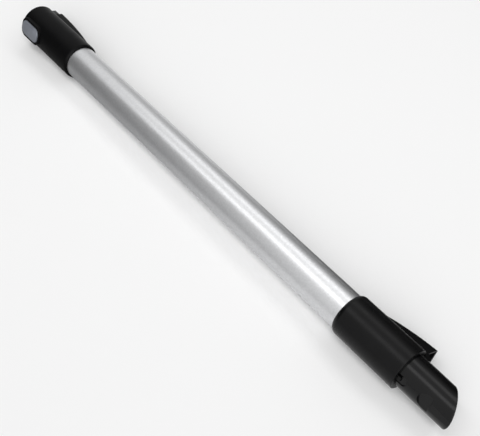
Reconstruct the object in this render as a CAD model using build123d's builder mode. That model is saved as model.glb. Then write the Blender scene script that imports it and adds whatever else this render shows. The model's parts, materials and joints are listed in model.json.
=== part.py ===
"""Powered vacuum cleaner tube: aluminium tube, latching socket sleeve, contact housings and slanted spigot."""
import math
import os

from build123d import *

os.makedirs("parts", exist_ok=True)

# Tube and sleeves, radii and lengths in millimetres
tube_r = 17.5
tube_wall = 1.0
sleeve_r = 20.0
gap = 0.05
upper_len = 90.0
bare_len = 408.5
lower_len = 68.5

# Socket at the upper end
shell_wall = 1.54
guide_r = 16.4
seat_r = 16.0
guide_len = 35.0
seat_len = 20.0
seal_len = 3.4
throat_r = 14.4
stem_len = 23.0

# Spigot at the lower end
spigot_r = 15.75
spigot_root_r = 16.05
spigot_tip_r = 15.35
spigot_bore_r = 13.0
spigot_len = 30.4
straight_start = 13.0
tip_slant = 36.0
catch_len = 11.5
catch_depth = 1.9
catch_half = 7.4
land_depth = 0.55
key_half = 4.1
key_len = 9.3
key_tab_half = 2.2
key_depth = 1.2

# Contact housings, heights measured from the tube axis
upper_rib_half = 9.0
upper_rib_h = 30.6
upper_rib_len = 76.0
upper_rib_fall = 3.05
upper_rib_round = 2.2
lower_rib_half = 8.0
lower_rib_h = 34.0
lower_rib_swell = 2.3
lower_rib_round = 1.6
rib_wall = 1.4
tongue_len = 6.0
plug_reach = 12.0
plug_half = 7.2
plug_top = 27.9

# Release button and latch
button_len = 30.0
button_wide = 15.9
button_start = 3.6
button_gap = 0.6
bezel_rim = 2.1
button_corner = 6.2
bezel_h = 21.2
button_top = 22.7
button_crown_r = 40.0
pivot_x = 20.0
pin_r = 0.9
pin_play = 0.05
nose_x = 33.3
nose_in = 1.25
lever_half = 4.8

# Wiring
wire_r = 0.9
wire_side = 1.75
contact_side = 3.4
slot_half = 4.3
fall_slot = 18.0

# Stations along the tube, counted from the mouth of the socket
seat_end = guide_len + seat_len
shoulder_x = seat_end + seal_len
flange_end = shoulder_x + 2.6
tube_start = flange_end + 0.4
stem_end = flange_end + stem_len
lower_top = upper_len + bare_len
lower_end = lower_top + lower_len
collar_end = lower_end - 10.5
tube_end = collar_end - 7.0
spigot_start = lower_top + 8.0
housing_end = lower_end + 1.6
housing_start = lower_top + 12.5
tongue_end = lower_end + tongue_len
tip_short = lower_end + spigot_len
tip_rise = math.tan(math.radians(tip_slant))
tip_long = tip_short + 2 * spigot_r * tip_rise
catch_end = tip_short + 2.3
catch_start = catch_end - catch_len
duct_start = stem_end + 4.0
duct_end = spigot_start - 3.0

# Radii that follow from the sizes above
tube_in = tube_r - tube_wall
stem_r = tube_in - 0.06
liner_r = sleeve_r - shell_wall - gap
wire_h = tube_in - 2.0
pivot_h = sleeve_r - 1.6
button_base = sleeve_r - 0.4
recess_h = guide_r + 0.9
nose_h = seat_r - nose_in

# The tube lies rolled until the corner of the lower housing and the sleeves touch the floor
corner_h = lower_rib_h - lower_rib_round
corner_w = lower_rib_half - lower_rib_round
roll = math.asin((sleeve_r - lower_rib_round) / math.hypot(corner_h, corner_w)) - math.atan2(corner_w, corner_h)
crest = Vector(0, math.cos(roll), -math.sin(roll))
across = Vector(0, math.sin(roll), math.cos(roll))

# The origin lies on the tube axis at the inner end of the socket's seat bore
mouth = Vector(-seat_end, 0, 0)

# Working planes: lengthwise through the crest, and facing the crest side or the button side
side_plane = Plane(origin=mouth, x_dir=(1, 0, 0), z_dir=across)
crest_plan = Plane(origin=mouth, x_dir=(1, 0, 0), z_dir=crest)
button_plan = Plane(origin=mouth, x_dir=(1, 0, 0), z_dir=-crest)


def section(x):
    """Plane square to the tube at station x, its first direction toward the crest."""
    return Plane(origin=mouth + Vector(x, 0, 0), x_dir=crest, z_dir=(1, 0, 0))


def at(x, h, t):
    """Point at station x, height h toward the crest and t across."""
    return mouth + Vector(x, 0, 0) + crest * h + across * t


# Aluminium tube with a notch for the wires at each hidden end
with BuildPart() as tube:
    with BuildSketch(section(tube_start)):
        Circle(tube_r)
        Circle(tube_in, mode=Mode.SUBTRACT)
    extrude(amount=tube_end - tube_start)
    with BuildSketch(crest_plan.offset(tube_in - 4)):
        with Locations((tube_start, 0), (tube_end, 0)):
            Rectangle(2 * (stem_end - tube_start - 2), 2 * slot_half)
        with Locations((tube_end - 20, 0)):
            Rectangle(36, 2 * slot_half)
    extrude(amount=6, mode=Mode.SUBTRACT)
tube.part.label = "tube"

# Inner socket liner: guide bore, seat bore, seal groove and the stem inside the tube
with BuildPart() as socket_liner:
    with BuildSketch(side_plane):
        with BuildLine():
            Polyline(
                (1.25, guide_r + 0.4),
                (1.25, liner_r),
                (flange_end, liner_r),
                (flange_end, stem_r),
                (stem_end, stem_r),
                (stem_end, throat_r + 0.8),
                (stem_end - 1.5, throat_r),
                (shoulder_x, throat_r),
                (shoulder_x, seat_r + 0.7),
                (seat_end, seat_r + 0.7),
                (seat_end, seat_r),
                (guide_len, seat_r),
                (guide_len - 0.7, guide_r),
                (1.65, guide_r),
                close=True,
            )
        make_face()
    revolve(axis=Axis.X)
    with BuildSketch(button_plan.offset(recess_h)):
        with Locations(((2.6 + nose_x + 1) / 2, 0)):
            Rectangle(nose_x + 1 - 2.6, 14)
    extrude(amount=5, mode=Mode.SUBTRACT)
    with BuildSketch(button_plan.offset(9)):
        with Locations(((14.8 + nose_x + 1) / 2, 0)):
            Rectangle(nose_x + 1 - 14.8, 13)
    extrude(amount=12, mode=Mode.SUBTRACT)
    with BuildSketch(crest_plan.offset(throat_r - 3)):
        with Locations((stem_end, 0)):
            Rectangle(2 * (stem_end - flange_end - 1.5), 2 * slot_half)
    extrude(amount=7, mode=Mode.SUBTRACT)
    with BuildSketch(crest_plan.offset(seat_r + 0.9)):
        with Locations((guide_len + 6, 0)):
            Circle(1.12)
    extrude(amount=4, mode=Mode.SUBTRACT)
socket_liner.part.label = "socket_liner"

# Rubber ring at the bottom of the socket
with BuildPart() as socket_seal:
    with BuildSketch(side_plane):
        with BuildLine():
            Polyline(
                (seat_end + 0.1, seat_r + 0.65),
                (shoulder_x - 0.05, seat_r + 0.65),
                (shoulder_x - 0.05, throat_r + 0.4),
                (shoulder_x - 0.9, throat_r + 0.4),
                (seat_end + 1.2, seat_r - 0.6),
                (seat_end + 0.1, seat_r - 0.3),
                close=True,
            )
        make_face()
    revolve(axis=Axis.X)
socket_seal.part.label = "socket_seal"

# Outer shape of the upper contact fairing
with BuildPart() as upper_rib:
    with BuildSketch(side_plane):
        with BuildLine():
            Polyline(
                (upper_rib_len, sleeve_r - 0.5),
                (upper_rib_len, sleeve_r - 3),
                (0.0, sleeve_r - 3),
                (0.0, upper_rib_h),
            )
            ThreePointArc(
                (0.0, upper_rib_h),
                (upper_rib_len / 2, upper_rib_h - upper_rib_fall),
                (upper_rib_len, sleeve_r - 0.5),
            )
        make_face()
    extrude(amount=upper_rib_half, both=True)
    upper_ridge = upper_rib.faces().sort_by(Axis((0, 0, 0), crest))[-1]
    fillet(upper_ridge.edges().filter_by(lambda e: e.length > upper_rib_len / 2), upper_rib_round)

# Raised frame around the button
with BuildPart() as bezel:
    with BuildSketch(button_plan.offset(sleeve_r - 5)):
        with Locations((button_start + button_len / 2 + 0.1, 0)):
            RectangleRounded(
                button_len + 2 * (button_gap + bezel_rim) + 0.2,
                button_wide + 2 * (button_gap + bezel_rim),
                button_corner + button_gap + 0.8 * bezel_rim,
            )
    extrude(amount=bezel_h - sleeve_r + 5)
    bezel_top = bezel.faces().sort_by(Axis((0, 0, 0), -crest))[-1]
    fillet(bezel_top.edges(), 0.8)

# Upper sleeve: round shell, fairing and button frame in one moulding
with BuildPart() as upper_sleeve:
    with BuildSketch(side_plane):
        with BuildLine():
            Polyline(
                (upper_len - 3.4, sleeve_r),
                (0.7, sleeve_r),
                (0.0, sleeve_r - 0.7),
                (0.0, 0.0),
                (upper_len, 0.0),
                (upper_len, tube_r + 0.35),
            )
            TangentArc((upper_len - 3.4, sleeve_r), (upper_len, tube_r + 0.35), tangent=(1, 0))
        make_face()
    revolve(axis=Axis.X)
    add(upper_rib.part)
    add(bezel.part)
    with BuildSketch(side_plane):
        with BuildLine():
            Polyline(
                (-1.0, 0.0),
                (-1.0, guide_r + 1.0),
                (0.0, guide_r + 1.0),
                (0.6, guide_r + 0.4),
                (1.2, guide_r + 0.4),
                (1.2, liner_r + gap),
                (tube_start - 0.2, liner_r + gap),
                (tube_start - 0.2, tube_r + gap),
                (upper_len + 1, tube_r + gap),
                (upper_len + 1, 0.0),
                close=True,
            )
        make_face()
    revolve(axis=Axis.X, mode=Mode.SUBTRACT)
    with BuildSketch(side_plane):
        with BuildLine():
            Polyline(
                (upper_rib_len - 10, sleeve_r + 0.2),
                (-1.0, sleeve_r + 0.2),
                (-1.0, upper_rib_h - rib_wall),
            )
            ThreePointArc(
                (-1.0, upper_rib_h - rib_wall),
                (upper_rib_len / 2 - 1, upper_rib_h - upper_rib_fall - rib_wall - 0.3),
                (upper_rib_len - 10, sleeve_r + 0.2),
            )
        make_face()
    extrude(amount=upper_rib_half - rib_wall, both=True, mode=Mode.SUBTRACT)
    with BuildSketch(button_plan.offset(sleeve_r - 6)):
        with Locations((button_start + button_len / 2 - 0.1, 0)):
            RectangleRounded(
                button_len + 2 * button_gap + 0.2,
                button_wide + 2 * button_gap,
                button_corner + button_gap,
            )
    extrude(amount=12, mode=Mode.SUBTRACT)
    with BuildSketch(button_plan.offset(sleeve_r - 5)):
        with Locations((nose_x - 3, 0)):
            Rectangle(8.5, 2 * lever_half + 1.4)
    extrude(amount=3.6, mode=Mode.SUBTRACT)
    with BuildSketch(side_plane):
        with Locations((pivot_x, -pivot_h)):
            Circle(pin_r + 0.02)
    extrude(amount=button_wide / 2 + button_gap + 1.3, both=True, mode=Mode.SUBTRACT)
    with BuildSketch(crest_plan.offset(sleeve_r - 5)):
        with Locations((tube_start - fall_slot * 0.35, 0)):
            Rectangle(fall_slot, 2 * slot_half)
    extrude(amount=6, mode=Mode.SUBTRACT)
    with BuildSketch(crest_plan.offset(sleeve_r - 5)):
        with Locations((tube_start + 0.6 + fall_slot / 4, 0)):
            Rectangle(fall_slot / 2, 2 * slot_half)
    extrude(amount=4.6, mode=Mode.SUBTRACT)
    with BuildSketch(crest_plan.offset(sleeve_r - 5)):
        with Locations((tube_start + 0.6 + fall_slot / 2, 0)):
            Rectangle(fall_slot * 0.45, 2 * slot_half)
    extrude(amount=3.4, mode=Mode.SUBTRACT)
    with BuildSketch(crest_plan.offset(sleeve_r - 5)):
        with Locations((guide_len + 6, 0)):
            Circle(1.3)
    extrude(amount=8, mode=Mode.SUBTRACT)
upper_sleeve.part.label = "upper_sleeve"

# Screw that holds the upper sleeve to the liner inside the fairing
with BuildPart() as sleeve_screw:
    with BuildSketch(crest_plan.offset(seat_r + 1.0)):
        with Locations((guide_len + 6, 0)):
            Circle(1.1)
    extrude(amount=sleeve_r + 0.3 - seat_r - 1.0)
    with BuildSketch(crest_plan.offset(sleeve_r + 0.22)):
        with Locations((guide_len + 6, 0)):
            Circle(2.1)
    extrude(amount=1.4)
    with BuildSketch(crest_plan.offset(sleeve_r + 1.0)):
        with Locations((guide_len + 6, 0)):
            Rectangle(2.6, 0.6)
            Rectangle(0.6, 2.6)
    extrude(amount=1.4, mode=Mode.SUBTRACT)
sleeve_screw.part.label = "sleeve_screw"

# Grey button cap with two ears that ride on the pin
with BuildPart() as release_button:
    with BuildSketch(button_plan.offset(button_base)):
        with Locations((button_start + button_len / 2, 0)):
            RectangleRounded(button_len, button_wide, button_corner)
    extrude(amount=5)
    with BuildSketch(section(-5)):
        with Locations((button_crown_r - button_top, 0)):
            Circle(button_crown_r)
    extrude(amount=60, mode=Mode.INTERSECT)
    button_face = release_button.faces().sort_by(Axis((0, 0, 0), -crest))[-1]
    fillet(button_face.edges(), 0.7)
    with BuildSketch(button_plan.offset(button_base - 1)):
        with Locations((button_start + 4.9, 0)):
            Circle(2.9)
    extrude(amount=2.4, mode=Mode.SUBTRACT)
    with BuildSketch(side_plane.offset(lever_half + 0.05), side_plane.offset(-lever_half - 1.4)):
        with Locations((pivot_x, -(button_base + pivot_h - 1.5) / 2)):
            Rectangle(7, button_base - pivot_h + 1.7)
    extrude(amount=1.35)
    with BuildSketch(side_plane):
        with Locations((pivot_x, -pivot_h)):
            Circle(pin_r + pin_play)
    extrude(amount=lever_half + 3, both=True, mode=Mode.SUBTRACT)
release_button.part.label = "release_button"

# Latch lever under the button, with the ramped nose that reaches into the socket
with BuildPart() as latch_lever:
    with BuildSketch(side_plane):
        with BuildLine():
            Polyline(
                (pivot_x - 4.5, -button_base),
                (pivot_x + 4.5, -button_base),
                (pivot_x + 5.2, -(pivot_h - 0.7)),
                (nose_x, -(nose_h + 1.75)),
                (nose_x, -nose_h),
                (pivot_x + 2.0, -(seat_r + 0.4)),
                (pivot_x - 1.4, -(seat_r + 0.6)),
                (pivot_x - 4.5, -(pivot_h - 0.8)),
                close=True,
            )
        make_face()
    extrude(amount=lever_half, both=True)
    with BuildSketch(side_plane):
        with Locations((pivot_x, -pivot_h)):
            Circle(pin_r + pin_play)
    extrude(amount=lever_half + 1, both=True, mode=Mode.SUBTRACT)
latch_lever.part.label = "latch_lever"

# Steel pin across the button opening
with BuildPart() as latch_pin:
    with BuildSketch(side_plane):
        with Locations((pivot_x, -pivot_h)):
            Circle(pin_r)
    extrude(amount=button_wide / 2 + button_gap + 1.2, both=True)
latch_pin.part.label = "latch_pin"

# Small coil spring under the mouth end of the button
with BuildPart() as latch_spring:
    with BuildLine():
        coil = Helix(
            pitch=1.06,
            height=button_base + 1.14 - recess_h - 0.24,
            radius=2.0,
            center=at(button_start + 4.9, -(recess_h + 0.24), 0),
            direction=-crest,
        )
    with BuildSketch(Plane(origin=coil @ 0, z_dir=coil % 0)):
        Circle(0.22)
    sweep(path=coil, is_frenet=True)
latch_spring.part.label = "latch_spring"

# Plug block that stands out of the fairing past the mouth
with BuildPart() as upper_contact_block:
    with BuildSketch(side_plane):
        with Locations(((13 + 1.5) / 2, (sleeve_r + 0.4 + plug_top - 0.4) / 2)):
            Rectangle(11.5, plug_top - sleeve_r - 0.8)
    extrude(amount=upper_rib_half - rib_wall - 0.2, both=True)
    with BuildSketch(side_plane):
        with Locations(((1.5 - plug_reach) / 2, (sleeve_r + 1.0 + plug_top) / 2)):
            Rectangle(plug_reach + 1.5, plug_top - sleeve_r - 1.0)
    extrude(amount=plug_half, both=True)
    plug_end = upper_contact_block.faces().sort_by(Axis.X)[0]
    chamfer(plug_end.edges(), 0.6)
    with BuildSketch(section(-plug_reach - 1)):
        with Locations((sleeve_r + 3.15, contact_side), (sleeve_r + 3.15, -contact_side)):
            Rectangle(1.7, 3.0)
    extrude(amount=plug_reach + 16, mode=Mode.SUBTRACT)
upper_contact_block.part.label = "upper_contact_block"

# Outer shape of the lower contact housing with its long edges rounded
hollow_floor = sleeve_r + 2.4
with BuildPart() as lower_rib:
    with BuildSketch(side_plane):
        with BuildLine():
            Polyline(
                (housing_end, lower_rib_h),
                (lower_end, hollow_floor),
                (lower_end, sleeve_r - 4),
                (housing_start, sleeve_r - 4),
                (housing_start, sleeve_r - 0.4),
            )
            ThreePointArc(
                (housing_start, sleeve_r - 0.4),
                ((housing_start + housing_end) / 2, (sleeve_r - 0.4 + lower_rib_h) / 2 + lower_rib_swell),
                (housing_end, lower_rib_h),
            )
        make_face()
    extrude(amount=lower_rib_half, both=True)
    lower_ridge = lower_rib.faces().sort_by(Axis((0, 0, 0), crest))[-1]
    fillet(lower_ridge.edges().filter_by(lambda e: e.length > lower_len / 2), lower_rib_round)

# Lower sleeve: round shell, wedge housing, floor tongue and key in one moulding
hollow_start = housing_start + 11.5
rib_slope = (lower_rib_h - rib_wall - hollow_floor) / (housing_end - hollow_start)
with BuildPart() as lower_sleeve:
    with BuildSketch(side_plane):
        with BuildLine():
            Polyline(
                (lower_top + 4.6, sleeve_r),
                (lower_end - 0.4, sleeve_r),
                (lower_end, sleeve_r - 0.4),
                (lower_end, 0.0),
                (lower_top, 0.0),
                (lower_top, tube_r + 0.35),
            )
            TangentArc((lower_top + 4.6, sleeve_r), (lower_top, tube_r + 0.35), tangent=(-1, 0))
        make_face()
    revolve(axis=Axis.X)
    add(lower_rib.part)
    with BuildSketch(side_plane):
        with BuildLine():
            Polyline(
                (lower_end - 6, sleeve_r - 8),
                (tongue_end, sleeve_r - 8),
                (tongue_end, spigot_root_r + 1.25),
                (lower_end + 0.3, hollow_floor),
                (lower_end - 6, hollow_floor),
                close=True,
            )
        make_face()
    extrude(amount=lower_rib_half, both=True)
    with BuildSketch(side_plane):
        with BuildLine():
            Polyline(
                (lower_top - 1, 0.0),
                (lower_top - 1, tube_r + gap),
                (collar_end + 0.3, tube_r + gap),
                (collar_end + 0.3, spigot_root_r + gap),
                (tongue_end + 5, spigot_root_r + gap),
                (tongue_end + 5, 0.0),
                close=True,
            )
        make_face()
    revolve(axis=Axis.X, mode=Mode.SUBTRACT)
    with BuildSketch(side_plane):
        with BuildLine():
            Polyline(
                (hollow_start, hollow_floor),
                (housing_end + 2, hollow_floor),
                (housing_end + 2, hollow_floor + rib_slope * (housing_end + 2 - hollow_start)),
                close=True,
            )
        make_face()
    extrude(amount=lower_rib_half - rib_wall, both=True, mode=Mode.SUBTRACT)
    with BuildSketch(crest_plan.offset(tube_r - 2)):
        with Locations((lower_top + 27, 0)):
            Rectangle(14, 2 * slot_half)
    extrude(amount=sleeve_r + 0.6 - tube_r + 2, mode=Mode.SUBTRACT)
    with BuildSketch(crest_plan.offset(tube_r - 2)):
        with Locations((lower_top + 40, 0)):
            Rectangle(16, 2 * slot_half)
    extrude(amount=hollow_floor + 0.5 - tube_r + 2, mode=Mode.SUBTRACT)
    with BuildSketch(button_plan.offset(spigot_r - key_depth + 0.15)):
        with Locations((lower_end - 1.5, 0)):
            Rectangle(10, 2 * key_tab_half)
    extrude(amount=key_depth + 0.4)
lower_sleeve.part.label = "lower_sleeve"

# Spigot moulding: stem inside the tube, collar, and the slanted open end
with BuildPart() as spigot:
    with BuildSketch(side_plane):
        with BuildLine():
            Polyline(
                (spigot_start, throat_r + 0.8),
                (spigot_start, stem_r),
                (tube_end + 0.4, stem_r),
                (tube_end + 0.4, tube_r),
                (collar_end, tube_r),
                (collar_end, spigot_root_r),
                (lower_end + straight_start, spigot_r),
                (catch_start - 0.2, spigot_r),
                (tip_long + 1, spigot_tip_r),
                (tip_long + 1, spigot_bore_r),
                (collar_end, spigot_bore_r),
                (tube_end, throat_r),
                (spigot_start + 1.5, throat_r),
                close=True,
            )
        make_face()
    revolve(axis=Axis.X)
    with BuildSketch(side_plane):
        with BuildLine():
            Polyline(
                (tip_short - 5 * tip_rise, spigot_r + 5),
                (tip_long + 5 * tip_rise, -spigot_r - 5),
                (tip_long + 30, -spigot_r - 5),
                (tip_long + 30, spigot_r + 5),
                close=True,
            )
        make_face()
    extrude(amount=2 * spigot_r, both=True, mode=Mode.SUBTRACT)
    tip_rim = spigot.faces().sort_by(Axis.X)[-1]
    fillet(tip_rim.edges(), 0.6)
    with BuildSketch(button_plan.offset(spigot_r - catch_depth)):
        with Locations((catch_end - (catch_len - catch_half) / 2, 0)):
            Rectangle(catch_len - catch_half, 2 * catch_half)
        with Locations((catch_end - catch_len + catch_half, 0)):
            Circle(catch_half)
        with Locations((catch_end + catch_half, 0)):
            Rectangle(2 * catch_half, 4 * catch_half, mode=Mode.SUBTRACT)
    extrude(amount=catch_depth + 2, mode=Mode.SUBTRACT)
    with BuildSketch(button_plan.offset(spigot_r - land_depth)):
        with Locations((catch_end + 21, 0)):
            Rectangle(40, 4 * catch_half)
    extrude(amount=3, mode=Mode.SUBTRACT)
    with BuildSketch(button_plan.offset(spigot_r - key_depth)):
        with Locations((lower_end - 2, 0)):
            Rectangle(2 * (key_len - key_half + 2), 2 * key_half)
        with Locations((lower_end + key_len - key_half, 0)):
            Circle(key_half)
    extrude(amount=3, mode=Mode.SUBTRACT)
    with BuildSketch(crest_plan.offset(throat_r - 3)):
        with Locations(((spigot_start + tube_end) / 2 - 1, 0)):
            Rectangle(tube_end - spigot_start + 2, 2 * slot_half)
    extrude(amount=7, mode=Mode.SUBTRACT)
spigot.part.label = "spigot"

# Block that carries the contacts inside the lower housing
block_start = lower_end - 16.5
block_end = block_start + 10.0
block_gap = 0.3
with BuildPart() as lower_contact_block:
    with BuildSketch(side_plane):
        with BuildLine():
            Polyline(
                (block_start, hollow_floor + 0.05),
                (block_end, hollow_floor + 0.05),
                (block_end, hollow_floor + rib_slope * (block_end - hollow_start) - block_gap),
                (block_start, hollow_floor + rib_slope * (block_start - hollow_start) - block_gap),
                close=True,
            )
        make_face()
    extrude(amount=lower_rib_half - rib_wall - 0.1, both=True)
    with BuildSketch(section(block_start - 1)):
        with Locations((sleeve_r + 4.2, contact_side), (sleeve_r + 4.2, -contact_side)):
            Rectangle(0.62, 3.42)
    extrude(amount=block_end - block_start + 2, mode=Mode.SUBTRACT)
lower_contact_block.part.label = "lower_contact_block"

# Cable duct along the crest inside the tube, with a hole for each wire
with BuildPart() as cable_duct:
    with BuildSketch(section(duct_start)):
        Circle(tube_in - 0.08)
        with Locations((wire_h + 0.2, 0)):
            Rectangle(4.2, 2 * slot_half, mode=Mode.INTERSECT)
        with Locations((wire_h, wire_side), (wire_h, -wire_side)):
            Circle(wire_r + 0.1, mode=Mode.SUBTRACT)
    extrude(amount=duct_end - duct_start)
cable_duct.part.label = "cable_duct"

pieces = [
    tube,
    socket_liner,
    socket_seal,
    upper_sleeve,
    sleeve_screw,
    release_button,
    latch_lever,
    latch_pin,
    latch_spring,
    upper_contact_block,
    lower_sleeve,
    spigot,
    lower_contact_block,
    cable_duct,
]

# Contacts and wires, one of each on either side of the crest
upper_h = sleeve_r + 2.3
upper_wire_h = upper_h + 1.15
lower_wire_h = sleeve_r + 4.2
for side, hand in ((1, "left"), (-1, "right")):
    with BuildPart() as upper_contact:
        with BuildSketch(crest_plan.offset(upper_h)):
            with Locations(((15.6 - plug_reach + 1.2) / 2, -side * contact_side)):
                Rectangle(15.6 + plug_reach - 1.2, 2.6)
        extrude(amount=0.5)
        with BuildSketch(section(15)):
            with Locations((upper_wire_h, side * contact_side)):
                Circle(1.3)
        extrude(amount=5)
        with BuildSketch(section(15.9)):
            with Locations((upper_wire_h, side * contact_side)):
                Circle(wire_r + 0.02)
        extrude(amount=5, mode=Mode.SUBTRACT)
    upper_contact.part.label = "upper_contact_" + hand
    pieces.append(upper_contact)

    with BuildPart() as lower_contact:
        with BuildSketch(crest_plan.offset(lower_wire_h - 0.3)):
            with Locations(((block_start - 0.6 + lower_end - 0.5) / 2, -side * contact_side)):
                Rectangle(lower_end - 0.5 - block_start + 0.6, 3.4)
        extrude(amount=0.6)
        with BuildSketch(section(block_start - 5)):
            with Locations((lower_wire_h, side * contact_side)):
                Circle(1.3)
        extrude(amount=4.9)
        with BuildSketch(section(block_start - 6)):
            with Locations((lower_wire_h, side * contact_side)):
                Circle(wire_r + 0.02)
        extrude(amount=5, mode=Mode.SUBTRACT)
    lower_contact.part.label = "lower_contact_" + hand
    pieces.append(lower_contact)

    with BuildPart() as wire:
        with BuildLine():
            lead_in = Line(at(16.2, upper_wire_h, side * contact_side), at(21, upper_wire_h, side * contact_side))
            fall = Spline(
                lead_in @ 1,
                at(tube_start - 21.4, upper_wire_h - 0.8, side * 3.3),
                at(tube_start - 9.4, upper_wire_h - 2.2, side * 3.0),
                at(tube_start + 0.6, sleeve_r - 0.85, side * 2.7),
                at(tube_start + 12.6, tube_in - 0.6, side * 2.2),
                at(duct_start - 1, wire_h, side * wire_side),
                tangents=((1, 0, 0), (1, 0, 0)),
            )
            run = Line(fall @ 1, at(duct_end + 1, wire_h, side * wire_side))
            rise = Spline(
                run @ 1,
                at(lower_top + 16, wire_h + 0.3, side * 1.9),
                at(lower_top + 27, wire_h + 2.9, side * 2.4),
                at(lower_top + 36, sleeve_r + 0.9, side * 2.9),
                at(block_start - 6, lower_wire_h, side * contact_side),
                tangents=((1, 0, 0), (1, 0, 0)),
            )
            lead_out = Line(rise @ 1, at(block_start - 1.2, lower_wire_h, side * contact_side))
        with BuildSketch(Plane(origin=lead_in @ 0, z_dir=lead_in % 0)):
            Circle(wire_r)
        sweep()
    wire.part.label = "wire_" + hand
    pieces.append(wire)

for piece in pieces:
    export_step(piece.part, "parts/" + piece.part.label + ".step")
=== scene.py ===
"""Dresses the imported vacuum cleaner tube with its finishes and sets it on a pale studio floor."""
import json
import math

import bpy
from mathutils import Matrix, Vector


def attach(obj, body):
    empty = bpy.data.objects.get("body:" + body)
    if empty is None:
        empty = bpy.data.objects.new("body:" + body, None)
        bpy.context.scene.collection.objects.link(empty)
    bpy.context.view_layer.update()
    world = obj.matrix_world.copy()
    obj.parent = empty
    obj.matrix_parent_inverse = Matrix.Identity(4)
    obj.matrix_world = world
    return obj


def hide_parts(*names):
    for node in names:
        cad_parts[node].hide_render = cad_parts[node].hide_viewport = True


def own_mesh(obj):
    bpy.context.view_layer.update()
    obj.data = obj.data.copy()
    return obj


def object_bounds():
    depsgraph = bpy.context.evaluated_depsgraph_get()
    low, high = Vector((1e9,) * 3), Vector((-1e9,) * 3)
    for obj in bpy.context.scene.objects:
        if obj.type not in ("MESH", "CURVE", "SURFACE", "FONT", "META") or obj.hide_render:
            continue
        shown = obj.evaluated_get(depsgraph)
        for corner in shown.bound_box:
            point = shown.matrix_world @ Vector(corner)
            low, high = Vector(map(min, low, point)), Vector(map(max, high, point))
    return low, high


bl_info = {
    "name": "Vacuum Cleaner Tube Finishes",
    "version": (1, 0, 0),
    "blender": (4, 5, 0),
    "location": "View3D > Sidebar > Vacuum Tube",
    "description": "Finishes, small parts and studio stage for a powered vacuum cleaner tube",
    "category": "Object",
}

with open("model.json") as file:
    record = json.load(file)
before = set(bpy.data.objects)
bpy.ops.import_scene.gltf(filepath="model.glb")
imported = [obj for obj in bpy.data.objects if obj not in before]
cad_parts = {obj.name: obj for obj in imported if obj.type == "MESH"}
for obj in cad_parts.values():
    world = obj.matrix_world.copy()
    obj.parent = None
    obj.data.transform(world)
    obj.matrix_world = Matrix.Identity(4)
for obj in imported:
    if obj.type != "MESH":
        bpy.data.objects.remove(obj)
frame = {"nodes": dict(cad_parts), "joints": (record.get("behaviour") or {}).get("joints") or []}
CAD_BOX = [list(corner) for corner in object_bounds()]
FLOOR_Z = CAD_BOX[0][2]
EDGE_BREAK = 0.0004
TUBE_LINE = Vector((1.0, 0.0, 0.0))

# Places of two inputs and of the output of a colour mix node
MIX_A = 6
MIX_B = 7
MIX_OUT = 2

# Overhead strip lamps: size, height over the tube's axis, middle along it, turn about it in degrees from the
# housing side, and share of the near one's power that the far one has
STRIP_LENGTH = 1.9
STRIP_WIDTH = 0.36
STRIP_RISE = 1.2
STRIP_MIDDLE = 0.25
FAR_STRIP_TURN = 59.0
NEAR_STRIP_TURN = 103.0
FAR_STRIP_SHARE = 0.7

# Where the key light comes from, and how wide it is in degrees
KEY_FROM = Vector((0.577, -0.538, 0.615))
KEY_WIDTH = 60.0

# Reach of the floor and of the cards of painted shade on it, and the height of the cards over it
FLOOR_REACH = 4.0
CARD_REACH = 3.9
CARD_RISE = 0.0005

# Directions to the right, up and back of the camera, as columns
CAMERA_TURN = Matrix(
    (
        (0.63554, -0.60063, 0.48512),
        (0.77207, 0.49441, -0.39933),
        (0.0, 0.62833, 0.77795),
    )
)

# Grey of the backdrop round the tube's axis, degrees from +Y over the top, at the spigot end and past the socket end
NEAR_ROOM = [
    (-180, 0.9),
    (-90, 0.3),
    (-30, 0.03),
    (10, 0.03),
    (27, 0.22),
    (45, 0.72),
    (70, 1.0),
    (89, 0.95),
    (120, 1.0),
    (150, 0.95),
    (180, 0.9),
]
FAR_ROOM = [
    (-180, 0.03),
    (-10, 0.5),
    (30, 0.62),
    (75, 0.8),
    (88, 0.78),
    (100, 0.34),
    (112, 0.04),
    (150, 0.01),
    (180, 0.02),
]


def colour_prop(name, description, default):
    """Colour property with the usual range."""
    return bpy.props.FloatVectorProperty(
        name=name, description=description, default=default, min=0.0, max=1.0, size=3, subtype="COLOR"
    )


def factor_prop(name, description, default):
    """Factor property from 0 to 1."""
    return bpy.props.FloatProperty(
        name=name, description=description, default=default, min=0.0, max=1.0, subtype="FACTOR"
    )


def length_prop(name, description, default):
    """Length property in metres."""
    return bpy.props.FloatProperty(
        name=name, description=description, default=default, min=0.0, precision=5, unit="LENGTH", subtype="DISTANCE"
    )


class TubeFinishSettings(bpy.types.PropertyGroup):
    """Colours and gloss of the tube's own pieces."""

    metal_light: colour_prop("Aluminium light", "Lighter grain of the anodised tube", (0.715, 0.72, 0.73))
    metal_dark: colour_prop("Aluminium dark", "Darker grain of the anodised tube", (0.655, 0.66, 0.67))
    metal_roughness: factor_prop("Aluminium roughness", "Mean roughness of the anodised tube", 0.38)
    grain_size: length_prop("Grain size", "Width of one grain of the anodised finish", 0.0009)
    upper_black: colour_prop("Upper sleeve black", "Matte black of the upper sleeve", (0.0017, 0.0017, 0.0019))
    upper_roughness: factor_prop("Upper sleeve roughness", "Mean roughness of the upper sleeve", 0.44)
    lower_black: colour_prop("Lower sleeve black", "Satin black of the lower sleeve", (0.0025, 0.0025, 0.0027))
    lower_roughness: factor_prop("Lower sleeve roughness", "Mean roughness of the lower sleeve", 0.3)
    spigot_black: colour_prop("Spigot black", "Glossy black of the spigot", (0.0024, 0.0024, 0.0026))
    spigot_roughness: factor_prop("Spigot roughness", "Mean roughness of the spigot", 0.2)
    button_grey: colour_prop("Button grey", "Satin grey of the release button", (0.155, 0.165, 0.19))
    button_roughness: factor_prop("Button roughness", "Mean roughness of the release button", 0.36)


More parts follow.
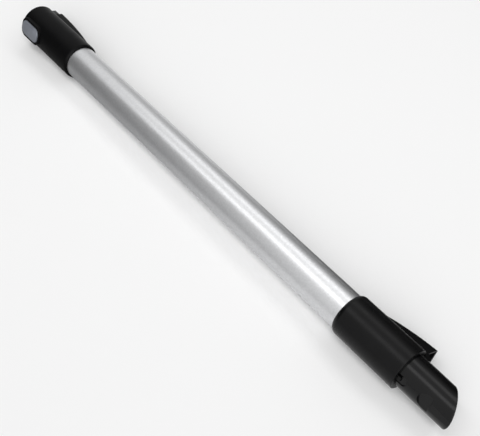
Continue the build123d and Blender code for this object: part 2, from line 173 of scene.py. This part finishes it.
class TubeSpringSettings(bpy.types.PropertyGroup):
    """Coil spring under the release button."""

    coil_radius: length_prop("Coil radius", "Radius of the coil, to the middle of its wire", 0.002)
    wire_radius: length_prop("Wire radius", "Radius of the spring wire", 0.00022)
    coil_length: length_prop("Coil length", "Length of the coil at rest, between its wire's two ends", 0.0031)
    turns: bpy.props.FloatProperty(name="Turns", description="Turns of the coil", default=3.0, min=1.0)
    pressed: factor_prop("Pressed share", "Share of the length that is left with the button pressed", 0.52)


class TubeStageSettings(bpy.types.PropertyGroup):
    """Floor, lamps and camera."""

    floor_colour: colour_prop("Floor", "Colour of the pale studio floor", (0.9, 0.9, 0.9))
    strip_power: bpy.props.FloatProperty(
        name="Strip lamps", description="Power of the near overhead strip lamp", default=3.7, min=0.0, unit="POWER"
    )
    key_strength: bpy.props.FloatProperty(
        name="Key light", description="Strength of the soft key light from the camera's side", default=1.75, min=0.0
    )
    room_level: factor_prop("Room light", "Level of the light that the room's walls give back", 0.4)
    lens_mm: bpy.props.FloatProperty(
        name="Lens", description="Focal length for a 36 mm wide sensor", default=60.15, min=1.0
    )
    camera_place: bpy.props.FloatVectorProperty(
        name="Camera",
        description="Place of the camera",
        default=(0.662, -0.2953, 0.5658),
        size=3,
        subtype="XYZ",
        unit="LENGTH",
    )


class Tree:
    """Short way to add and join nodes in one node tree."""

    def __init__(self, tree):
        self.tree = tree
        tree.nodes.clear()

    def node(self, kind, **values):
        """Adds a node; a value whose name is an input socket sets that input."""
        made = self.tree.nodes.new(kind)
        for key, value in values.items():
            if key in made.inputs:
                made.inputs[key].default_value = value
            else:
                setattr(made, key, value)
        return made

    def join(self, source, output, target, socket):
        """Links an output to an input."""
        self.tree.links.new(source.outputs[output], target.inputs[socket])


def new_material(name):
    """Material with an output, a Principled shader and Object coordinates."""
    made = bpy.data.materials.new(name)
    made.use_nodes = True
    tree = Tree(made.node_tree)
    out = tree.node("ShaderNodeOutputMaterial")
    shader = tree.node("ShaderNodeBsdfPrincipled")
    place = tree.node("ShaderNodeTexCoord")
    tree.join(shader, "BSDF", out, "Surface")
    return made, tree, shader, place


def two_tone(tree, place, shader, dark, light, scale, detail=3.0, low=0.35, high=0.65):
    """Base colour that wanders between two tones of one finish."""
    noise = tree.node("ShaderNodeTexNoise", Scale=scale, Detail=detail)
    ramp = tree.node("ShaderNodeValToRGB")
    ramp.color_ramp.elements[0].position = low
    ramp.color_ramp.elements[0].color = (*dark, 1)
    ramp.color_ramp.elements[1].position = high
    ramp.color_ramp.elements[1].color = (*light, 1)
    tree.join(place, "Object", noise, "Vector")
    tree.join(noise, "Fac", ramp, "Fac")
    tree.join(ramp, "Color", shader, "Base Color")


def remap(tree, low, high, to_low=0.0, to_high=1.0, **values):
    """Node that maps one range of values to another."""
    span = tree.node("ShaderNodeMapRange", **values)
    span.inputs["From Min"].default_value = low
    span.inputs["From Max"].default_value = high
    span.inputs["To Min"].default_value = to_low
    span.inputs["To Max"].default_value = to_high
    return span


def wander(tree, place, shader, socket, low, high, scale):
    """Scalar input that wanders between two values."""
    noise = tree.node("ShaderNodeTexNoise", Scale=scale, Detail=2.0)
    span = remap(tree, 0.3, 0.7, low, high)
    tree.join(place, "Object", noise, "Vector")
    tree.join(noise, "Fac", span, "Value")
    tree.join(span, "Result", shader, socket)


def grain_bump(tree, place, shader, scale, depth, strength):
    """Fine moulded or blasted grain, on edges that are broken as a mould or a file leaves them."""
    noise = tree.node("ShaderNodeTexNoise", Scale=scale, Detail=2.0)
    edge = tree.node("ShaderNodeBevel", samples=4, Radius=EDGE_BREAK)
    bump = tree.node("ShaderNodeBump", Strength=strength, Distance=depth)
    tree.join(place, "Object", noise, "Vector")
    tree.join(noise, "Fac", bump, "Height")
    tree.join(edge, "Normal", bump, "Normal")
    tree.join(bump, "Normal", shader, "Normal")


def anodised_aluminium(finish):
    """Blasted and anodised aluminium with a fine sparkle."""
    made, tree, shader, place = new_material("anodised_aluminium")
    shader.inputs["Metallic"].default_value = 1.0
    scale = 0.5 / finish.grain_size
    rough = finish.metal_roughness
    two_tone(tree, place, shader, finish.metal_dark, finish.metal_light, scale, 4.0)
    wander(tree, place, shader, "Roughness", rough - 0.02, rough + 0.02, scale * 0.8)
    grain_bump(tree, place, shader, scale * 1.6, finish.grain_size * 0.08, 0.16)
    return made


def moulded_plastic(name, tone, roughness, grain, depth, strength, shine=0.5):
    """Moulded plastic with a slight cloud in its tone and a moulded grain."""
    made, tree, shader, place = new_material(name)
    shader.inputs["IOR"].default_value = 1.5
    shader.inputs["Specular IOR Level"].default_value = shine
    light = [min(1.0, channel * 1.18) for channel in tone]
    dark = [channel * 0.86 for channel in tone]
    two_tone(tree, place, shader, dark, light, 60.0)
    wander(tree, place, shader, "Roughness", max(0.02, roughness - 0.04), roughness + 0.04, 90.0)
    grain_bump(tree, place, shader, grain, depth, strength)
    return made


def plated_metal(name, tone, roughness):
    """Bright plated or drawn metal with faint handling marks."""
    made, tree, shader, place = new_material(name)
    shader.inputs["Metallic"].default_value = 1.0
    two_tone(tree, place, shader, [c * 0.85 for c in tone], tone, 400.0)
    wander(tree, place, shader, "Roughness", roughness - 0.05, roughness + 0.08, 700.0)
    return made


def dress(node, material):
    """Gives a node of the frame its finish."""
    piece = frame["nodes"][node]
    piece.data.materials.clear()
    piece.data.materials.append(material)


class VTUBE_OT_aluminium_tube(bpy.types.Operator):
    """Give the round tube its anodised finish"""

    bl_idname = "vtube.aluminium_tube"
    bl_label = "Aluminium tube"

    def execute(self, context):
        dress("tube", anodised_aluminium(context.scene.vtube_finish))
        return {"FINISHED"}


class VTUBE_OT_sleeves(bpy.types.Operator):
    """Give both outer sleeves their moulded blacks"""

    bl_idname = "vtube.sleeves"
    bl_label = "Sleeves"

    def execute(self, context):
        finish = context.scene.vtube_finish
        upper = moulded_plastic(
            "upper_sleeve_black",
            finish.upper_black,
            finish.upper_roughness,
            grain=2600.0,
            depth=0.00004,
            strength=0.3,
            shine=0.075,
        )
        lower = moulded_plastic(
            "lower_sleeve_black",
            finish.lower_black,
            finish.lower_roughness,
            grain=2600.0,
            depth=0.00002,
            strength=0.15,
            shine=0.16,
        )
        dress("upper_sleeve", upper)
        dress("lower_sleeve", lower)
        return {"FINISHED"}


class VTUBE_OT_spigot(bpy.types.Operator):
    """Give the spigot its glossy black"""

    bl_idname = "vtube.spigot"
    bl_label = "Spigot"

    def execute(self, context):
        finish = context.scene.vtube_finish
        black = moulded_plastic(
            "spigot_black",
            finish.spigot_black,
            finish.spigot_roughness,
            grain=900.0,
            depth=0.00001,
            strength=0.08,
            shine=0.24,
        )
        dress("spigot", black)
        return {"FINISHED"}


def coil_tree():
    """Geometry nodes that sweep a round wire along a coil, and the identifiers of their inputs."""
    group = bpy.data.node_groups.new("coil_spring", "GeometryNodeTree")
    group.interface.new_socket("Geometry", in_out="OUTPUT", socket_type="NodeSocketGeometry")
    kinds = dict.fromkeys(("Turns", "Coil Radius", "Wire Radius", "Coil Length"), "NodeSocketFloat")
    kinds["Steel"] = "NodeSocketMaterial"
    sockets = {}
    for name, kind in kinds.items():
        sockets[name] = group.interface.new_socket(name, in_out="INPUT", socket_type=kind).identifier
    tree = Tree(group)
    sizes = tree.node("NodeGroupInput")
    out = tree.node("NodeGroupOutput")
    coil = tree.node("GeometryNodeCurveSpiral", Resolution=40)
    ring = tree.node("GeometryNodeCurvePrimitiveCircle", Resolution=12)
    wire = tree.node("GeometryNodeCurveToMesh")
    wire.inputs["Fill Caps"].default_value = True
    plain = tree.node("GeometryNodeRealizeInstances")
    finish = tree.node("GeometryNodeSetMaterial")
    tree.join(sizes, "Turns", coil, "Rotations")
    tree.join(sizes, "Coil Radius", coil, "Start Radius")
    tree.join(sizes, "Coil Radius", coil, "End Radius")
    tree.join(sizes, "Coil Length", coil, "Height")
    tree.join(sizes, "Wire Radius", ring, "Radius")
    tree.join(coil, "Curve", wire, "Curve")
    tree.join(ring, "Curve", wire, "Profile Curve")
    tree.join(wire, "Mesh", plain, "Geometry")
    tree.join(plain, "Geometry", finish, "Geometry")
    tree.join(sizes, "Steel", finish, "Material")
    tree.join(finish, "Geometry", out, "Geometry")
    return group, sockets


def middle_of(node, axes):
    """Middle of a node, from its span along three square directions."""
    points = [vertex.co for vertex in frame["nodes"][node].data.vertices]
    middle = Vector()
    for axis in axes:
        span = [axis.dot(point) for point in points]
        middle += axis * (min(span) + max(span)) / 2
    return middle


def coil_spring(context, steel):
    """Coil spring between the liner and the button, built at its rest length; the real one shortens as the button
    goes down.
    """
    spring = context.scene.vtube_spring
    group, sockets = coil_tree()
    piece = bpy.data.objects.new("coil_spring", bpy.data.meshes.new("coil_spring_form"))
    context.scene.collection.objects.link(piece)
    wound = piece.modifiers.new("coil_spring", "NODES")
    wound.node_group = group
    values = {
        "Turns": spring.turns,
        "Coil Radius": spring.coil_radius,
        "Wire Radius": spring.wire_radius,
        "Coil Length": spring.coil_length,
        "Steel": steel,
    }
    for name, value in values.items():
        wound[sockets[name]] = value
    mesh = bpy.data.meshes.new_from_object(piece.evaluated_get(context.evaluated_depsgraph_get()))
    piece.modifiers.clear()
    piece.data = mesh
    hinge = next(joint for joint in frame["joints"] if joint["name"] == "release_latch")
    outward = Vector(hinge["axis"]).cross(TUBE_LINE).normalized()
    axes = (TUBE_LINE, outward.cross(TUBE_LINE), outward)
    foot = middle_of("latch_spring", axes) - outward * spring.coil_length / 2
    mesh.transform(Matrix.Translation(foot) @ Matrix(axes).transposed().to_4x4())
    mesh.shade_smooth()
    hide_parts("latch_spring")
    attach(piece, "wand")
    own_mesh(piece)


class VTUBE_OT_release(bpy.types.Operator):
    """Finish the release button, its lever, pin and spring"""

    bl_idname = "vtube.release"
    bl_label = "Release button"

    def execute(self, context):
        finish = context.scene.vtube_finish
        grey = moulded_plastic(
            "button_grey", finish.button_grey, finish.button_roughness, grain=2400.0, depth=0.00003, strength=0.2
        )
        black = moulded_plastic("lever_black", (0.02, 0.02, 0.022), 0.35, grain=1500.0, depth=0.00002, strength=0.1)
        dress("release_button", grey)
        dress("latch_lever", black)
        steel = plated_metal("drawn_steel", (0.6, 0.6, 0.61), 0.25)
        dress("latch_pin", steel)
        coil_spring(context, steel)
        dress("sleeve_screw", steel)
        return {"FINISHED"}


class VTUBE_OT_socket(bpy.types.Operator):
    """Finish the socket liner and its rubber seal"""

    bl_idname = "vtube.socket"
    bl_label = "Socket"

    def execute(self, context):
        black = moulded_plastic("liner_black", (0.012, 0.012, 0.013), 0.38, grain=1200.0, depth=0.00002, strength=0.1)
        rubber = moulded_plastic("seal_rubber", (0.018, 0.018, 0.018), 0.7, grain=3000.0, depth=0.00004, strength=0.3)
        dress("socket_liner", black)
        dress("socket_seal", rubber)
        return {"FINISHED"}


class VTUBE_OT_contacts(bpy.types.Operator):
    """Finish the contact blocks and the plated contacts"""

    bl_idname = "vtube.contacts"
    bl_label = "Contacts"

    def execute(self, context):
        block = moulded_plastic(
            "contact_block_black", (0.01, 0.01, 0.011), 0.42, grain=1800.0, depth=0.00003, strength=0.2
        )
        plate = plated_metal("contact_plating", (0.80, 0.84, 0.9), 0.18)
        for node in ("upper_contact_block", "lower_contact_block"):
            dress(node, block)
        for end in ("upper", "lower"):
            for hand in ("left", "right"):
                dress(f"{end}_contact_{hand}", plate)
        return {"FINISHED"}


class VTUBE_OT_wiring(bpy.types.Operator):
    """Finish the wires and the duct that holds them"""

    bl_idname = "vtube.wiring"
    bl_label = "Wiring"

    def execute(self, context):
        black = moulded_plastic("wire_black", (0.02, 0.02, 0.02), 0.45, grain=1500.0, depth=0.00002, strength=0.15)
        red = moulded_plastic("wire_red", (0.35, 0.02, 0.02), 0.45, grain=1500.0, depth=0.00002, strength=0.15)
        grey = moulded_plastic("duct_grey", (0.06, 0.06, 0.065), 0.4, grain=900.0, depth=0.00002, strength=0.15)
        dress("wire_left", black)
        dress("wire_right", red)
        dress("cable_duct", grey)
        return {"FINISHED"}


def ramp_of(tree, stops):
    """Colour ramp of grey levels over a full turn, from (degrees, level) stops."""
    ramp = tree.node("ShaderNodeValToRGB")
    elements = ramp.color_ramp.elements
    while len(elements) > 1:
        elements.remove(elements[0])
    first = True
    for degrees, level in stops:
        place = (degrees + 180.0) / 360.0
        item = elements[0] if first else elements.new(place)
        item.position = place
        item.color = (level, level, level, 1)
        first = False
    return ramp


def studio_world(scene, stage):
    """Plain grey room light, and for the camera and for mirrors a white backdrop that dims toward two sides."""
    world = bpy.data.worlds.new("studio_room")
    scene.world = world
    world.use_nodes = True
    tree = Tree(world.node_tree)
    out = tree.node("ShaderNodeOutputWorld")
    walls = tree.node("ShaderNodeBackground", Color=(1, 1, 1, 1), Strength=stage.room_level)
    seen = tree.node("ShaderNodeBackground", Strength=1.0)
    pick = tree.node("ShaderNodeMixShader")
    path = tree.node("ShaderNodeLightPath")
    place = tree.node("ShaderNodeTexCoord")
    parts = tree.node("ShaderNodeSeparateXYZ")
    turn = tree.node("ShaderNodeMath", operation="ARCTAN2")
    share = remap(tree, -math.pi, math.pi)
    near = ramp_of(tree, NEAR_ROOM)
    far = ramp_of(tree, FAR_ROOM)
    along = remap(tree, -0.3, -0.7, interpolation_type="SMOOTHSTEP")
    tone = tree.node("ShaderNodeMix", data_type="RGBA")
    white = tree.node("ShaderNodeMix", data_type="RGBA")
    white.inputs[MIX_B].default_value = (1, 1, 1, 1)
    mirror = tree.node("ShaderNodeMath", operation="MAXIMUM")
    shown = tree.node("ShaderNodeMath", operation="MAXIMUM")
    tree.join(place, "Generated", parts, "Vector")
    tree.join(parts, "Z", turn, 0)
    tree.join(parts, "Y", turn, 1)
    tree.join(turn, "Value", share, "Value")
    tree.join(share, "Result", near, "Fac")
    tree.join(share, "Result", far, "Fac")
    tree.join(parts, "X", along, "Value")
    tree.join(along, "Result", tone, "Factor")
    tree.join(near, "Color", tone, MIX_A)
    tree.join(far, "Color", tone, MIX_B)
    tree.join(tone, MIX_OUT, white, MIX_A)
    tree.join(path, "Is Camera Ray", white, "Factor")
    tree.join(white, MIX_OUT, seen, "Color")
    tree.join(path, "Is Glossy Ray", mirror, 0)
    tree.join(path, "Is Transmission Ray", mirror, 1)
    tree.join(path, "Is Camera Ray", shown, 0)
    tree.join(mirror, "Value", shown, 1)
    tree.join(shown, "Value", pick, "Fac")
    tree.join(walls, "Background", pick, 1)
    tree.join(seen, "Background", pick, 2)
    tree.join(pick, "Shader", out, "Surface")


def strip_lamp(scene, name, degrees, power):
    """Long soft strip over the tube, turned about it by an angle from the floor on the housing side."""
    lamp = bpy.data.lights.new(name, "AREA")
    lamp.shape = "RECTANGLE"
    lamp.size = STRIP_LENGTH
    lamp.size_y = STRIP_WIDTH
    lamp.energy = power
    holder = bpy.data.objects.new(name, lamp)
    scene.collection.objects.link(holder)
    angle = math.radians(degrees)
    outward = Vector((0.0, math.cos(angle), math.sin(angle)))
    turned = Matrix((TUBE_LINE, outward.cross(TUBE_LINE), outward)).transposed().to_4x4()
    holder.matrix_world = Matrix.Translation(STRIP_MIDDLE * TUBE_LINE + STRIP_RISE * outward) @ turned
    holder.visible_camera = False


def key_light(scene, strength):
    """Broad soft light from behind the camera, so that the shadow falls away from it."""
    lamp = bpy.data.lights.new("key_light", "SUN")
    lamp.energy = strength
    lamp.angle = math.radians(KEY_WIDTH)
    holder = bpy.data.objects.new("key_light", lamp)
    scene.collection.objects.link(holder)
    holder.matrix_world = KEY_FROM.to_track_quat("Z", "Y").to_matrix().to_4x4()


def studio_floor(scene, stage):
    """Large pale floor under the tube."""
    mesh = bpy.data.meshes.new("studio_floor")
    reach = FLOOR_REACH
    corners = [(-reach, -reach), (reach, -reach), (reach, reach), (-reach, reach)]
    mesh.from_pydata([(x, y, FLOOR_Z) for x, y in corners], [], [(0, 1, 2, 3)])
    floor = bpy.data.objects.new("studio_floor", mesh)
    scene.collection.objects.link(floor)
    made, tree, shader, place = new_material("studio_floor_white")
    two_tone(tree, place, shader, [c * 0.995 for c in stage.floor_colour], stage.floor_colour, 3.0)
    shader.inputs["Roughness"].default_value = 1.0
    shader.inputs["Specular IOR Level"].default_value = 0.0
    mesh.materials.append(made)


def painted_shade_card(scene, name, edge, start, end, level, along, across):
    """Grey card of painted shade, a shaded floor that shows only in the gloss of the object; it fades in along the
    tube and away from it.
    """
    mesh = bpy.data.meshes.new(name)
    corners = [(x, y, z) for y, z in edge for x in (start, end)]
    faces = [(i, i + 1, i + 3, i + 2) for i in range(0, len(corners) - 2, 2)]
    mesh.from_pydata(corners, [], faces)
    card = bpy.data.objects.new(name, mesh)
    scene.collection.objects.link(card)
    # The card's grey is painted shade of the floor, seen only in the object's gloss
    made, tree, shader, place = new_material(name + "_painted_shade")
    two_tone(tree, place, shader, [level * 0.9] * 3, [level] * 3, 200.0)
    shader.inputs["Roughness"].default_value = 1.0
    shader.inputs["Specular IOR Level"].default_value = 0.0
    parts = tree.node("ShaderNodeSeparateXYZ")
    fade = remap(tree, *along, interpolation_type="SMOOTHSTEP")
    thin = remap(tree, *across)
    both = tree.node("ShaderNodeMath", operation="MULTIPLY")
    tree.join(place, "Object", parts, "Vector")
    tree.join(parts, "X", fade, "Value")
    tree.join(parts, "Y", thin, "Value")
    tree.join(fade, "Result", both, 0)
    tree.join(thin, "Result", both, 1)
    tree.join(both, "Value", shader, "Alpha")
    mesh.materials.append(made)
    card.visible_camera = False
    card.visible_diffuse = False
    card.visible_shadow = False
    card.visible_transmission = False


def painted_shade_cards(scene):
    """Painted shade seen only in gloss: a dark card on the floor behind the lower end, and a grey one in front of the
    upper end.
    """
    low = FLOOR_Z + CARD_RISE
    # Painted shade of the floor behind the lower end, seen only in gloss
    painted_shade_card(
        scene,
        "dark_shade_card",
        edge=[(0.05, low), (CARD_REACH, low)],
        start=0.1,
        end=0.9,
        level=0.02,
        along=(0.1, 0.4),
        across=(0.05, 0.1, 0.8),
    )
    # Painted shade of the floor in front of the upper end, seen only in gloss
    painted_shade_card(
        scene,
        "grey_shade_card",
        edge=[(-CARD_REACH, low), (-0.01, low)],
        start=-CARD_REACH,
        end=0.5,
        level=0.08,
        along=(0.5, 0.05),
        across=(-0.02, -0.3, 0.62),
    )


def photo_camera(scene, stage):
    """Camera at the photo's place and angle."""
    camera = bpy.data.cameras.new("photo_camera")
    camera.lens = stage.lens_mm
    camera.sensor_width = 36.0
    camera.clip_start = 0.01
    holder = bpy.data.objects.new("photo_camera", camera)
    scene.collection.objects.link(holder)
    holder.matrix_world = Matrix.Translation(stage.camera_place) @ CAMERA_TURN.to_4x4()
    scene.camera = holder


class VTUBE_OT_stage(bpy.types.Operator):
    """Add the floor, the lamps, the room light and the camera"""

    bl_idname = "vtube.stage"
    bl_label = "Studio stage"

    def execute(self, context):
        scene = context.scene
        stage = scene.vtube_stage
        scene.view_settings.view_transform = "Standard"
        studio_floor(scene, stage)
        # Cards of painted floor shade, seen only in the object's gloss
        painted_shade_cards(scene)
        studio_world(scene, stage)
        strip_lamp(scene, "strip_lamp_far", FAR_STRIP_TURN, stage.strip_power * FAR_STRIP_SHARE)
        strip_lamp(scene, "strip_lamp_near", NEAR_STRIP_TURN, stage.strip_power)
        key_light(scene, stage.key_strength)
        photo_camera(scene, stage)
        return {"FINISHED"}


class VTUBE_PT_panel(bpy.types.Panel):
    """Sidebar list of the tube's pieces"""

    bl_label = "Vacuum Tube"
    bl_idname = "VTUBE_PT_panel"
    bl_space_type = "VIEW_3D"
    bl_region_type = "UI"
    bl_category = "Vacuum Tube"

    def draw(self, context):
        scene = context.scene
        for group in (scene.vtube_finish, scene.vtube_spring, scene.vtube_stage):
            for key in group.__annotations__:
                self.layout.prop(group, key)
        for operator in OPERATORS:
            self.layout.operator(operator.bl_idname)


OPERATORS = (
    VTUBE_OT_aluminium_tube,
    VTUBE_OT_sleeves,
    VTUBE_OT_spigot,
    VTUBE_OT_release,
    VTUBE_OT_socket,
    VTUBE_OT_contacts,
    VTUBE_OT_wiring,
    VTUBE_OT_stage,
)
GROUPS = (TubeFinishSettings, TubeSpringSettings, TubeStageSettings)


def register():
    """Adds the classes and their settings."""
    for item in GROUPS + OPERATORS + (VTUBE_PT_panel,):
        bpy.utils.register_class(item)
    bpy.types.Scene.vtube_finish = bpy.props.PointerProperty(type=TubeFinishSettings)
    bpy.types.Scene.vtube_spring = bpy.props.PointerProperty(type=TubeSpringSettings)
    bpy.types.Scene.vtube_stage = bpy.props.PointerProperty(type=TubeStageSettings)


def unregister():
    """Takes the settings and the classes away."""
    del bpy.types.Scene.vtube_stage
    del bpy.types.Scene.vtube_spring
    del bpy.types.Scene.vtube_finish
    for item in reversed(GROUPS + OPERATORS + (VTUBE_PT_panel,)):
        bpy.utils.unregister_class(item)


def main():
    """Dresses the tube."""
    register()
    bpy.ops.vtube.aluminium_tube()
    bpy.ops.vtube.sleeves()
    bpy.ops.vtube.spigot()
    bpy.ops.vtube.release()
    bpy.ops.vtube.socket()
    bpy.ops.vtube.contacts()
    bpy.ops.vtube.wiring()
    bpy.ops.vtube.stage()


if __name__ == "__main__":
    main()
